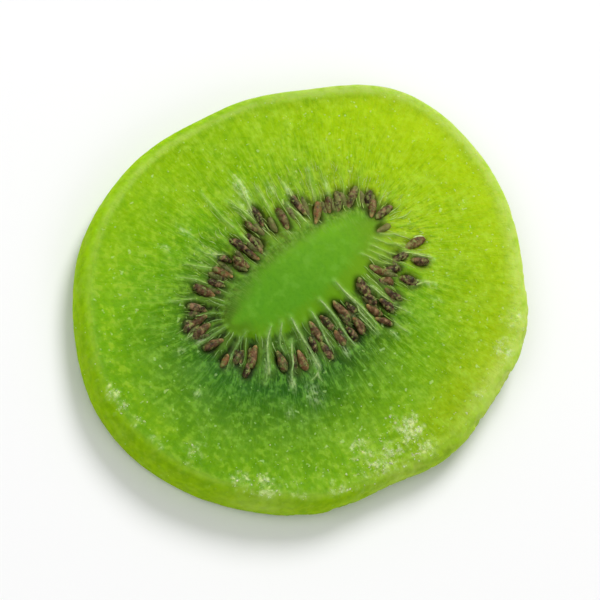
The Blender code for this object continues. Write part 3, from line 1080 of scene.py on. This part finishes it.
# ---- materials ---------------------------------------------------------------------
class Graph:
    """Short names for the nodes of one material."""

    def __init__(self, name):
        self.material = bpy.data.materials.new(name)
        self.material.use_nodes = True
        self.tree = self.material.node_tree
        self.shader = self.tree.nodes["Principled BSDF"]

    def node(self, kind, **settings):
        node = self.tree.nodes.new(kind)
        for key, value in settings.items():
            setattr(node, key, value)
        return node

    def plug(self, socket, value):
        if isinstance(value, bpy.types.NodeSocket):
            self.tree.links.new(value, socket)
        elif value is not None:
            socket.default_value = value

    def attribute(self, name, vector=False):
        node = self.node("ShaderNodeAttribute", attribute_name=name)
        return node.outputs["Vector" if vector else "Fac"]

    def where(self):
        """The place on the piece, in millimetres."""
        texture = self.node("ShaderNodeTexCoord")
        scale = self.node("ShaderNodeVectorMath", operation="SCALE")
        self.plug(scale.inputs[0], texture.outputs["Object"])
        scale.inputs["Scale"].default_value = 1000.0
        return scale.outputs[0]

    def stretch(self, vector, x, y, z):
        node = self.node("ShaderNodeVectorMath", operation="MULTIPLY")
        self.plug(node.inputs[0], vector)
        node.inputs[1].default_value = (x, y, z)
        return node.outputs[0]

    def noise(self, vector, scale, detail=2.0, rough=0.5, distortion=0.0):
        node = self.node("ShaderNodeTexNoise")
        self.plug(node.inputs["Vector"], vector)
        node.inputs["Scale"].default_value = scale
        node.inputs["Detail"].default_value = detail
        node.inputs["Roughness"].default_value = rough
        node.inputs["Distortion"].default_value = distortion
        return node.outputs["Fac"]

    def cells(self, vector, scale, feature="F1"):
        node = self.node("ShaderNodeTexVoronoi", feature=feature)
        self.plug(node.inputs["Vector"], vector)
        node.inputs["Scale"].default_value = scale
        return node.outputs["Distance"]

    def span(self, value, low, high, to_low=0.0, to_high=1.0, kind="SMOOTHSTEP"):
        node = self.node("ShaderNodeMapRange", interpolation_type=kind)
        for key, v in (
            ("Value", value), ("From Min", low), ("From Max", high),
            ("To Min", to_low), ("To Max", to_high),
        ):
            self.plug(node.inputs[key], v)
        return node.outputs["Result"]

    def math(self, operation, a, b=None, clamp=False):
        node = self.node("ShaderNodeMath", operation=operation, use_clamp=clamp)
        self.plug(node.inputs[0], a)
        self.plug(node.inputs[1], b)
        return node.outputs[0]

    def times(self, *values):
        total = values[0]
        for value in values[1:]:
            total = self.math("MULTIPLY", total, value)
        return total

    def mix(self, amount, a, b, blend="MIX"):
        node = self.node("ShaderNodeMix", data_type="RGBA", blend_type=blend)
        self.plug(node.inputs["Factor"], amount)
        self.plug(node.inputs[6], a)
        self.plug(node.inputs[7], b)
        return node.outputs[2]

    def part(self, vector, axis):
        node = self.node("ShaderNodeSeparateXYZ")
        self.plug(node.inputs[0], vector)
        return node.outputs[axis]

    def bump(self, height, distance, strength=1.0, normal=None):
        node = self.node("ShaderNodeBump")
        node.inputs["Strength"].default_value = strength
        node.inputs["Distance"].default_value = distance * MM
        self.plug(node.inputs["Height"], height)
        if normal is not None:
            self.plug(node.inputs["Normal"], normal)
        return node.outputs["Normal"]

    def scatter(self, weight, radius, scale):
        """Light carried through the surface: its share, and how far each colour goes."""
        self.shader.inputs["Subsurface Weight"].default_value = weight
        self.shader.inputs["Subsurface Radius"].default_value = radius
        self.shader.inputs["Subsurface Scale"].default_value = scale * MM


def flesh_material():
    g = Graph("kiwi_flesh")
    here = g.where()
    ray = g.attribute("ray", True)
    mu = g.part(ray, "Z")
    # The "light" attribute used across this material is partly the flesh's own tone and partly painted light
    # and shade.
    spot, light, near, septum, frost, rim, crest, ridge, fray, warm, rim_shade, gap, dull, clear = (
        g.attribute(n)
        for n in (
            "core", "light", "near_seed", "septum", "frost", "rim", "crest", "ridge", "fray",
            "warm", "rim_shade", "open", "dull", "clear",
        )
    )
    streak = g.noise(g.stretch(ray, 38.0, 38.0, 9.0), 1.0, 3.0, 0.6)
    hair = g.noise(g.stretch(ray, 105.0, 105.0, 14.0), 1.0, 2.0, 0.5)
    grain = g.noise(here, 2.0, 2.0, 0.55)
    coarse = g.noise(here, 0.70, 2.0, 0.5)
    soft = g.noise(here, 0.20, 3.0, 0.55)

    # Rings of colour out from the core, with uneven edges.
    shift = g.times(g.math("SUBTRACT", streak, 0.5), g.span(mu, 0.20, 0.50), 0.20)
    uneven = g.math("ADD", mu, shift)
    flesh = g.mix(
        g.span(light, 0.0, 0.53, kind="LINEAR"), linear(38, 98, 10), linear(114, 173, 2)
    )
    flesh = g.mix(g.span(light, 0.53, 1.0, kind="LINEAR"), flesh, linear(172, 211, 0))
    flesh = g.mix(
        g.times(g.span(uneven, 0.58, 0.68), g.span(uneven, 1.02, 0.80),
                g.span(light, 0.75, 0.15, 0.0, 0.8)),
        flesh, (0.66, 0.74, 0.75, 1.0), "MULTIPLY",
    )
    core = g.mix(
        g.span(light, 0.0, 0.7, kind="LINEAR"), linear(93, 156, 21), linear(114, 172, 24)
    )
    core = g.mix(g.span(grain, 0.52, 0.36, 0.0, 0.5), core, (0.84, 0.90, 0.8, 1.0), "MULTIPLY")
    core = g.mix(g.span(coarse, 0.50, 0.70, 0.0, 0.35), core, linear(128, 182, 56))
    belt = g.mix(light, linear(56, 93, 6), linear(120, 163, 16))
    # Round the core: clear olive flesh on one side, fibrous greyer flesh on the other.
    olive = g.mix(light, linear(100, 153, 8), linear(130, 172, 24))
    fibrous = g.mix(g.span(streak, 0.36, 0.66), linear(76, 130, 18), linear(108, 156, 46))
    sided = g.math("SUBTRACT", g.span(g.part(ray, "Y"), 0.2, -0.5), 0.35)
    sided = g.math("ADD", g.times(sided, g.span(mu, 0.03, 0.30)), 0.35)
    olive = g.mix(sided, olive, fibrous)
    edge = g.math("ADD", spot, g.times(g.math("SUBTRACT", streak, 0.5), 0.6))
    colour = g.mix(g.span(edge, 0.62, 1.04), core, olive)
    colour = g.mix(g.span(uneven, 0.39, 0.47), colour, belt)
    colour = g.mix(g.span(uneven, 0.58, 0.70), colour, flesh)
    inner = g.mix(g.span(streak, 0.36, 0.60), linear(136, 170, 40), linear(160, 190, 70))
    outer = g.mix(g.span(streak, 0.36, 0.60), linear(150, 192, 8), linear(176, 214, 30))
    bright = g.mix(g.span(mu, 0.22, 0.42), inner, outer)
    colour = g.mix(g.times(gap, 0.92), colour, bright)
    outside = g.span(mu, 0.38, 0.66)
    # It is darker at the near end of the core, and outside the seeds on that side.
    end = g.times(g.span(g.part(ray, "X"), -0.74, -0.92), g.span(mu, 0.04, 0.24))
    flank = g.times(
        g.span(g.part(ray, "X"), 0.50, -0.15), g.span(g.part(ray, "Y"), -0.1, 0.2),
        g.span(mu, 0.48, 0.58),
    )
    colour = g.mix(
        g.times(g.math("MAXIMUM", end, flank), g.span(mu, 1.04, 0.78), 0.90), colour,
        (0.72, 0.67, 0.46, 1.0), "MULTIPLY",
    )
    # Facing that, it is a little browner.
    brown = g.times(
        g.span(g.part(ray, "X"), -0.65, -0.20), g.span(g.part(ray, "Y"), 0.05, -0.35),
        g.span(mu, 0.18, 0.40), g.span(mu, 0.80, 0.58),
    )
    colour = g.mix(brown, colour, (1.24, 1.04, 0.86, 1.0), "MULTIPLY")
    corner = g.times(
        g.span(g.part(ray, "X"), -0.42, -0.72), g.span(g.part(ray, "Y"), 0.0, -0.3),
        g.span(mu, 0.06, 0.24), g.span(mu, 0.50, 0.38),
    )
    colour = g.mix(corner, colour, (0.92, 0.86, 0.82, 1.0), "MULTIPLY")
    # It is lighter between the core and the seeds near the open stretch, and darker at the
    # outer ends of the seeds on that side.
    near_open = g.times(
        g.span(g.part(ray, "X"), 0.15, 0.55), g.span(g.part(ray, "Y"), 0.15, -0.15),
        g.span(mu, 0.10, 0.24), g.span(mu, 0.52, 0.42),
    )
    colour = g.mix(near_open, colour, (1.26, 1.22, 1.20, 1.0), "MULTIPLY")
    ends = g.times(
        g.span(g.part(ray, "Y"), -0.25, -0.60), g.span(mu, 0.62, 0.70), g.span(mu, 0.94, 0.82)
    )
    colour = g.mix(ends, colour, (0.84, 0.86, 0.84, 1.0), "MULTIPLY")
    # There, too, the flesh just inside the seeds is blotched.
    inner_side = g.times(
        g.span(g.part(ray, "Y"), 0.05, -0.35), g.span(mu, 0.24, 0.36), g.span(mu, 0.66, 0.54)
    )
    blotch = g.noise(g.stretch(ray, 16.0, 16.0, 22.0), 1.0, 3.0, 0.6)
    colour = g.mix(
        g.times(inner_side, g.span(blotch, 0.50, 0.36), 0.45), colour,
        g.mix(light, linear(62, 66, 22), linear(92, 90, 38)),
    )
    colour = g.mix(
        g.times(inner_side, g.span(blotch, 0.50, 0.64), 0.50), colour,
        g.mix(light, linear(116, 154, 70), linear(158, 186, 96)),
    )
    # The mottle is stronger in the deep flesh than in the pale.
    busy = g.span(light, 0.80, 1.0, 1.0, 0.60)
    colour = g.mix(g.times(warm, outside), colour, (1.30, 0.98, 0.90, 1.0), "MULTIPLY")

    # Slow patches, then streaks along the fibres and a fine granular mottle.
    pale = g.mix(light, linear(102, 162, 52), linear(190, 222, 44))
    colour = g.mix(g.times(g.span(soft, 0.42, 0.72), outside, 0.16), colour, pale)
    colour = g.mix(
        g.times(g.span(soft, 0.50, 0.28), outside, 0.35), colour, (0.72, 0.80, 0.60, 1.0),
        "MULTIPLY",
    )
    grit = g.math("ADD", g.times(grain, 0.45), g.times(g.noise(here, 1.05, 1.5, 0.5), 0.55))
    colour = g.mix(
        g.times(g.span(grit, 0.49, 0.37), busy, g.span(mu, 0.28, 0.66, 0.12, 0.70)), colour,
        (0.76, 0.86, 0.40, 1.0), "MULTIPLY",
    )
    colour = g.mix(
        g.times(g.span(grit, 0.50, 0.63), busy, g.span(mu, 0.28, 0.66, 0.08, 0.60)), colour,
        pale,
    )
    colour = g.mix(
        g.times(g.span(streak, 0.48, 0.32), outside, g.span(mu, 1.4, 0.8, 0.2, 0.8)), colour,
        (0.66, 0.78, 0.45, 1.0), "MULTIPLY",
    )
    colour = g.mix(
        g.times(g.span(streak, 0.52, 0.70), outside, busy, g.span(mu, 1.6, 0.8, 0.10, 0.75)),
        colour, pale,
    )
    whitish = g.mix(light, linear(116, 168, 80), linear(192, 225, 84))
    colour = g.mix(
        g.times(g.span(hair, 0.52, 0.70), outside, g.span(mu, 1.45, 0.6, 0.04, 0.42)), colour,
        whitish,
    )

    # The flesh is dark round the seeds, partly its own stain and partly painted shade of the sunken seeds and
    # their pits; it is pale on the walls between them.
    inside = g.times(g.span(mu, 0.32, 0.42), g.span(mu, 0.98, 0.62))
    stain_and_shade = g.mix(light, linear(24, 32, 6), linear(56, 66, 8))
    colour = g.mix(
        g.times(g.span(near, 0.14, 0.68), g.math("SUBTRACT", 0.90, g.times(gap, 0.80))), colour,
        stain_and_shade,
    )
    colour = g.mix(
        g.times(end, inside, g.span(mu, 0.40, 0.52), g.span(grain, 0.62, 0.42, 0.3, 0.8)),
        colour, stain_and_shade,
    )
    colour = g.mix(g.times(septum, inside, 0.40), colour, linear(128, 174, 56))
    torn = g.span(grain, 0.34, 0.60, 0.35, 1.0)
    colour = g.mix(
        g.times(ridge, torn, 0.52), colour,
        g.mix(light, linear(146, 190, 96), linear(182, 218, 118)),
    )
    wisps = g.span(g.math("ADD", g.times(hair, 0.5), g.times(grain, 0.5)), 0.42, 0.57, 0.12, 1.0)
    colour = g.mix(g.times(fray, wisps), colour, linear(212, 232, 172))

    # Rim: a clear yellow-green skin below a pale line, which is partly its own colour and partly painted sheen.
    layers = g.noise(g.stretch(here, 0.95, 0.95, 1.2), 1.0, 4.0, 0.6)
    skin = g.mix(g.span(layers, 0.35, 0.65), linear(138, 187, 0), linear(160, 208, 6))
    skin = g.mix(g.span(g.noise(here, 1.3, 3.0, 0.6), 0.50, 0.72, 0.0, 0.34), skin,
                 linear(184, 216, 70))
    # Painted shade: the rim is darker and more saturated on the side towards -45 degrees.
    skin = g.mix(g.span(rim_shade, 0.3, 1.0), skin, (0.84, 0.82, 0.5, 1.0), "MULTIPLY")
    colour = g.mix(g.times(rim, 0.90), colour, skin)
    broken = g.span(g.noise(here, 0.8, 3.0, 0.6), 0.28, 0.60, 0.35, 1.0)
    colour = g.mix(g.times(crest, broken), colour, linear(198, 220, 106))
    colour = g.mix(dull, colour, (0.80, 0.82, 0.88, 1.0), "MULTIPLY")
    colour = g.mix(clear, colour, (1.26, 1.14, 0.80, 1.0), "MULTIPLY")

    # Sugar soaked into the surface where it gathered, and single grains elsewhere.
    crust = g.span(g.noise(here, 1.9, 4.0, 0.65), 0.40, 0.62, 0.34, 1.0)
    sugar = g.math("MULTIPLY", frost, crust)
    colour = g.mix(g.span(sugar, 0.02, 0.95, 0.0, 0.94), colour, linear(216, 234, 158))
    haze = g.times(
        g.span(g.noise(here, 0.42, 3.0, 0.6), 0.46, 0.68), outside,
        g.span(grit, 0.36, 0.62, 0.1, 1.0), busy,
    )
    colour = g.mix(g.times(haze, 0.22), colour, whitish)
    # Pale specks: partly single sugar grains and partly painted glints off them.
    flakes = g.span(g.noise(g.stretch(here, 1.0, 0.8, 1.0), 1.8, 1.0, 0.5), 0.69, 0.76)
    dots = g.times(
        g.span(g.cells(here, 1.1), 0.17, 0.07), g.span(g.noise(here, 0.5, 2.0), 0.48, 0.60)
    )
    specks_and_glints = g.times(
        g.math("MAXIMUM", flakes, g.times(dots, 0.8)), outside, g.span(rim, 0.1, 0.8, 1.0, 0.2)
    )
    colour = g.mix(
        g.times(specks_and_glints, 0.55), colour,
        g.mix(light, linear(166, 208, 120), linear(214, 236, 146)),
    )
    g.plug(g.shader.inputs["Base Color"], colour)

    rough = g.span(grain, 0.30, 0.72, 0.36, 0.60)
    rough = g.math("ADD", g.math("ADD", rough, g.times(sugar, 0.12)), g.times(rim, 0.30))
    g.plug(g.shader.inputs["Roughness"], g.math("SUBTRACT", rough, g.times(specks_and_glints, 0.28)))
    g.shader.inputs["Specular IOR Level"].default_value = 0.06
    height = g.math("ADD", g.math("ADD", grain, g.times(hair, 0.5)), g.times(specks_and_glints, 0.5))
    height = g.times(height, g.span(mu, 0.28, 0.55, 0.18, 1.0), g.span(rim, 0.2, 0.9, 1.0, 0.3))
    normal = g.bump(g.noise(here, 9.0, 3.0, 0.6), 0.05, 0.55)
    g.plug(g.shader.inputs["Normal"], g.bump(height, 0.13, 0.9, normal))
    g.scatter(0.85, (0.55, 1.0, 0.10), 1.0)
    g.shader.inputs["IOR"].default_value = 1.42
    return g.material


def seed_material():
    g = Graph("kiwi_seeds")
    here = g.where()
    tone, along, veil, light = (g.attribute(n) for n in ("tone", "along", "veil", "light"))
    patch = g.noise(here, 1.7, 3.0, 0.6)
    colour = g.mix(g.span(tone, 0.05, 0.60), linear(48, 31, 14), linear(90, 62, 33))
    colour = g.mix(g.span(tone, 0.60, 0.95), colour, linear(128, 88, 48))
    # Lighter tan patches, partly flecks of coating and partly painted highlight; then near-black patches.
    colour = g.mix(g.times(g.span(patch, 0.48, 0.67), 0.74), colour, linear(158, 128, 90))
    colour = g.mix(g.times(g.span(patch, 0.47, 0.32), 0.80), colour, linear(20, 13, 6))
    # The pointed end is lighter and redder on the redder seeds.
    tip = g.times(g.span(along, 0.24, 0.02), g.span(tone, 0.1, 0.8, 0.30, 0.90))
    colour = g.mix(tip, colour, linear(182, 142, 84))
    # Flecks of dried flesh cling to the coat, most of all at its ends.
    ends = g.span(g.math("ABSOLUTE", g.math("SUBTRACT", along, 0.5)), 0.25, 0.50, 0.0, 0.09)
    fleck = g.span(g.math("ADD", g.noise(here, 2.1, 4.0, 0.65), ends), 0.545, 0.63)
    film = g.mix(g.noise(here, 1.4), linear(92, 112, 34), linear(160, 178, 96))
    colour = g.mix(g.times(fleck, 0.78), colour, film)
    # Others lie under a skin of flesh.
    cover = g.span(g.math("ADD", g.noise(here, 2.3, 3.0, 0.6), g.times(veil, 0.42)), 0.57, 0.80)
    # The flesh over the seeds follows the "light" attribute, partly painted light and shade.
    over = g.mix(light, linear(56, 76, 24), linear(136, 138, 76))
    over = g.mix(g.span(g.noise(here, 2.9, 2.0), 0.45, 0.70, 0.0, 0.6), over, film)
    colour = g.mix(g.times(cover, 0.76), colour, over)
    g.plug(g.shader.inputs["Base Color"], colour)
    g.plug(g.shader.inputs["Roughness"], g.span(patch, 0.3, 0.7, 0.36, 0.58))
    g.plug(g.shader.inputs["Normal"], g.bump(g.cells(here, 5.2), 0.07, 0.8))
    g.shader.inputs["Specular IOR Level"].default_value = 0.18
    return g.material


def fibre_material():
    g = Graph("kiwi_fibres")
    here = g.where()
    pale, light = g.attribute("pale"), g.attribute("light")
    # The faint ones have nearly the colour of the flesh they lie on.
    # Their "light" value is partly painted light and shade, as on the flesh.
    faint = g.mix(light, linear(84, 134, 30), linear(164, 202, 34))
    colour = g.mix(pale, faint, g.mix(light, linear(180, 206, 132), linear(208, 228, 146)))
    vary = g.noise(here, 2.2, 3.0, 0.6)
    colour = g.mix(g.times(g.span(vary, 0.42, 0.60), 0.50), colour, faint)
    colour = g.mix(
        g.times(g.span(g.noise(here, 3.2, 2.0), 0.56, 0.68), pale, 0.7), colour,
        linear(206, 225, 160),
    )
    g.plug(g.shader.inputs["Base Color"], colour)
    g.plug(g.shader.inputs["Roughness"], g.span(vary, 0.3, 0.7, 0.32, 0.5))
    g.plug(g.shader.inputs["Normal"], g.bump(g.noise(here, 8.0, 2.0), 0.04, 0.6))
    g.scatter(0.3, (0.7, 1.0, 0.3), 0.15)
    g.shader.inputs["Specular IOR Level"].default_value = 0.3
    return g.material


def sugar_material():
    g = Graph("kiwi_sugar")
    here = g.where()
    shade = g.attribute("shade")
    vary = g.noise(here, 2.6, 2.0, 0.5)
    colour = g.mix(shade, linear(192, 224, 124), linear(232, 245, 200))
    colour = g.mix(g.times(g.span(vary, 0.44, 0.66), 0.40), colour, linear(176, 216, 92))
    g.plug(g.shader.inputs["Base Color"], colour)
    g.plug(g.shader.inputs["Roughness"], g.span(vary, 0.3, 0.7, 0.28, 0.5))
    g.plug(g.shader.inputs["Normal"], g.bump(g.noise(here, 9.0, 2.0), 0.03, 0.6))
    g.scatter(0.8, (0.8, 1.0, 0.4), 0.5)
    g.shader.inputs["Specular IOR Level"].default_value = 0.25
    return g.material


# ---- pieces ----------------------------------------------------------------------------
body = build_body(flesh_material())
seeds = build_seeds(seed_material())
fibres = build_fibres(fibre_material())
sugar = build_sugar(body, sugar_material())
for piece, slot in ((body, "flesh"), (seeds, "seed"), (fibres, "fibre"), (sugar, "sugar")):
    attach(piece, "root")
    print(piece.name, len(piece.data.polygons), "triangles")
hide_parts("kiwi_slice")

# ---- floor --------------------------------------------------------------------------------
floor_graph = Graph("floor")
tone = floor_graph.noise(floor_graph.where(), 0.01, 2.0)
floor_graph.plug(
    floor_graph.shader.inputs["Base Color"],
    floor_graph.mix(tone, (0.92, 0.92, 0.92, 1.0), (0.94, 0.94, 0.94, 1.0)),
)
floor_graph.shader.inputs["Roughness"].default_value = 0.9
floor_graph.shader.inputs["Specular IOR Level"].default_value = 0.1
floor_mesh = bpy.data.meshes.new("floor")
floor_mesh.from_pydata(
    [(-3.0, -3.0, 0.0), (3.0, -3.0, 0.0), (3.0, 3.0, 0.0), (-3.0, 3.0, 0.0)], [], [(0, 1, 2, 3)]
)
floor = bpy.data.objects.new("floor", floor_mesh)
bpy.context.scene.collection.objects.link(floor)
floor_mesh.materials.append(floor_graph.material)

# ---- camera --------------------------------------------------------------------------------
AZIMUTH, ELEVATION, ROLL = math.radians(13.0), math.radians(62.0), math.radians(40.0)
OFF_CENTRE = (0.37, 0.39)         # how far the slice sits right of and above the middle
DISTANCE = 0.60
FRAME_WIDTH = 0.0655              # of the plane through the slice's middle
back = Vector(
    (
        math.sin(AZIMUTH) * math.cos(ELEVATION),
        -math.cos(AZIMUTH) * math.cos(ELEVATION),
        math.sin(ELEVATION),
    )
)
right = Vector((math.cos(AZIMUTH), math.sin(AZIMUTH), 0.0))
up = back.cross(right)
# The camera is rolled, so that the slice's far side points to the upper right.
cam_right = right * math.cos(ROLL) + up * math.sin(ROLL)
cam_up = up * math.cos(ROLL) - right * math.sin(ROLL)
target = Vector(((-CENTRE[0]) * MM, (-CENTRE[1]) * MM, 0.5 * RIM_THICKNESS * MM))
target = target - (cam_right * OFF_CENTRE[0] + cam_up * OFF_CENTRE[1]) * MM
turn = Matrix((cam_right, cam_up, back)).transposed().to_4x4()
camera = bpy.data.cameras.new("camera")
camera.sensor_width = 36.0
camera.lens = 36.0 * DISTANCE / FRAME_WIDTH
camera.clip_start, camera.clip_end = 0.01, 20.0
camera_object = bpy.data.objects.new("camera", camera)
camera_object.matrix_world = Matrix.Translation(target + back * DISTANCE) @ turn
bpy.context.scene.collection.objects.link(camera_object)
bpy.context.scene.camera = camera_object


# ---- light ------------------------------------------------------------------------------------
def area(name, azimuth, elevation, distance, size, watts, colour=(1.0, 1.0, 1.0)):
    """A soft light whose place is given round the slice, in degrees from +X."""
    a, e = math.radians(azimuth), math.radians(elevation)
    way = Vector((math.cos(a) * math.cos(e), math.sin(a) * math.cos(e), math.sin(e)))
    lamp = bpy.data.lights.new(name, "AREA")
    lamp.shape = "DISK"
    lamp.size = size
    lamp.energy = watts
    lamp.color = colour
    lamp_object = bpy.data.objects.new(name, lamp)
    lamp_object.location = way * distance
    lamp_object.rotation_euler = way.to_track_quat("Z", "Y").to_euler()
    bpy.context.scene.collection.objects.link(lamp_object)


area("key", 120.0, 46.0, 0.9, 0.42, 5.3)
area("fill", 250.0, 55.0, 1.1, 0.8, 2.6)
area("side", 0.0, 40.0, 1.1, 0.6, 1.2)
world = bpy.data.worlds.new("world")
world.use_nodes = True
world.node_tree.nodes["Background"].inputs["Color"].default_value = (1.0, 1.0, 1.0, 1.0)
world.node_tree.nodes["Background"].inputs["Strength"].default_value = 0.4
bpy.context.scene.world = world
bpy.context.scene.view_settings.view_transform = "Standard"
